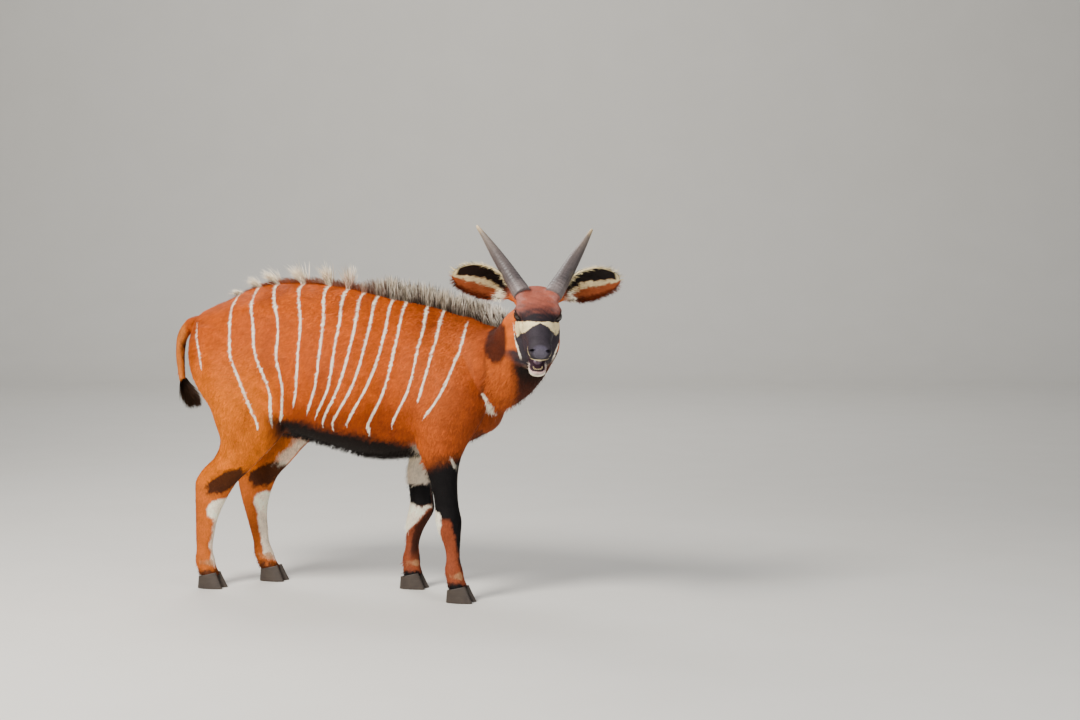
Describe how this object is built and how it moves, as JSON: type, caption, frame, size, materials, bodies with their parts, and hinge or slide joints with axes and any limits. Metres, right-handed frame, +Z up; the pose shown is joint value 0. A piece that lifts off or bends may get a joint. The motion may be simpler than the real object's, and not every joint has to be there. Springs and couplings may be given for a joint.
{
  "type": "animal figure",
  "caption": "Life-size still figure of a young bongo antelope standing side-on, head turned, mouth open, with striped coat, horns and a crest.",
  "frame": {"origin": "middle of the bottom of the bounding box, on the level that the hooves stand on", "axes": "+X the way the body faces, +Y towards the animal's left side, +Z up"},
  "size_m": [1.8748, 0.7388, 1.4473],
  "materials": {
    "coat": "matt",
    "dark_hair": "matt",
    "horn": "satin",
    "hoof": "satin",
    "eye": "polished",
    "tongue": "satin"
  },
  "bodies": {
    "root": {"torso": "coat", "neck": "coat", "head": "coat", "tail": "coat", "front_right_upper": "coat", "front_right_lower": "coat", "front_left_upper": "coat", "front_left_lower": "coat", "hind_right_upper": "coat", "hind_right_lower": "coat", "hind_left_upper": "coat", "hind_left_lower": "coat", "ear_right": "coat", "ear_left": "coat", "eye_right": "eye", "eye_left": "eye", "horn_right": "horn", "horn_left": "horn", "tongue": "tongue", "tail_tuft": "dark_hair", "hoof_front_right_outer": "hoof", "hoof_front_right_inner": "hoof", "hoof_front_left_outer": "hoof", "hoof_front_left_inner": "hoof", "hoof_hind_right_outer": "hoof", "hoof_hind_right_inner": "hoof", "hoof_hind_left_outer": "hoof", "hoof_hind_left_inner": "hoof"}
  },
  "joints": []
}
